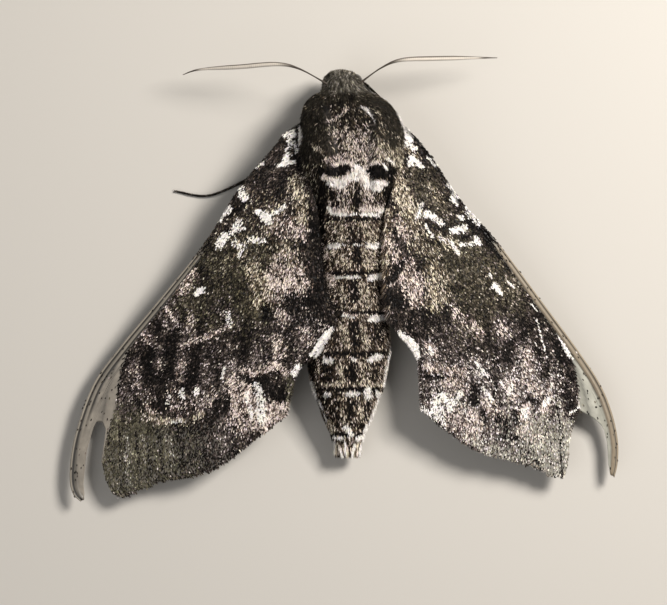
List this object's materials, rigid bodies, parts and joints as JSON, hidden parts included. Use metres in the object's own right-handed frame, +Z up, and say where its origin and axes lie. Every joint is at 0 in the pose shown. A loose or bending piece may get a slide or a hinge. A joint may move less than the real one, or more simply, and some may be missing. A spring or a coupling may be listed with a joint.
{
  "type": "hawk moth",
  "caption": "Life-size still hawk moth at rest, grey-brown and black with white marks, worn forewings spread as a low tent over the body.",
  "frame": {"origin": "on the floor under the middle of the moth's box", "axes": "+Z up from the floor, the head faces -Y, the moth's left side is towards +X"},
  "size_m": [0.0782, 0.0638, 0.013],
  "materials": {
    "body_scales": "dense grey-brown and black scale hairs, frosted with white",
    "forewing_scales": "flat overlapping scales, brown-black speckled with white, cream and pinkish grey, matt",
    "hindwing_scales": "flat overlapping scales, blackish with paler wavy bands, matt",
    "leg_scales": "short dark scales with paler rings",
    "feeler": "fine rings, pale scales above and brown below",
    "eye": "dark brown compound eye, satin",
    "tongue": "brown ringed horn, satin"
  },
  "bodies": {
    "root": {"head": "body_scales", "eye_left": "eye", "eye_right": "eye", "palp_left": "body_scales", "palp_right": "body_scales", "tongue": "tongue", "antenna_left": "feeler", "antenna_right": "feeler", "collar": "body_scales", "thorax": "body_scales", "tegula_left": "body_scales", "tegula_right": "body_scales", "abdomen_1": "body_scales", "abdomen_2": "body_scales", "abdomen_3": "body_scales", "abdomen_4": "body_scales", "abdomen_5": "body_scales", "abdomen_6": "body_scales", "tail_tuft": "body_scales", "forewing_left": "forewing_scales", "forewing_right": "forewing_scales", "hindwing_left": "hindwing_scales", "hindwing_right": "hindwing_scales", "leg_fore_left_femur": "leg_scales", "leg_fore_left_tibia": "leg_scales", "leg_fore_left_tarsus": "leg_scales", "leg_fore_right_femur": "leg_scales", "leg_fore_right_tibia": "leg_scales", "leg_fore_right_tarsus": "leg_scales", "leg_mid_left_femur": "leg_scales", "leg_mid_left_tibia": "leg_scales", "leg_mid_left_tarsus": "leg_scales", "leg_mid_right_femur": "leg_scales", "leg_mid_right_tibia": "leg_scales", "leg_mid_right_tarsus": "leg_scales", "leg_hind_left_femur": "leg_scales", "leg_hind_left_tibia": "leg_scales", "leg_hind_left_tarsus": "leg_scales", "leg_hind_right_femur": "leg_scales", "leg_hind_right_tibia": "leg_scales", "leg_hind_right_tarsus": "leg_scales"}
  },
  "joints": []
}
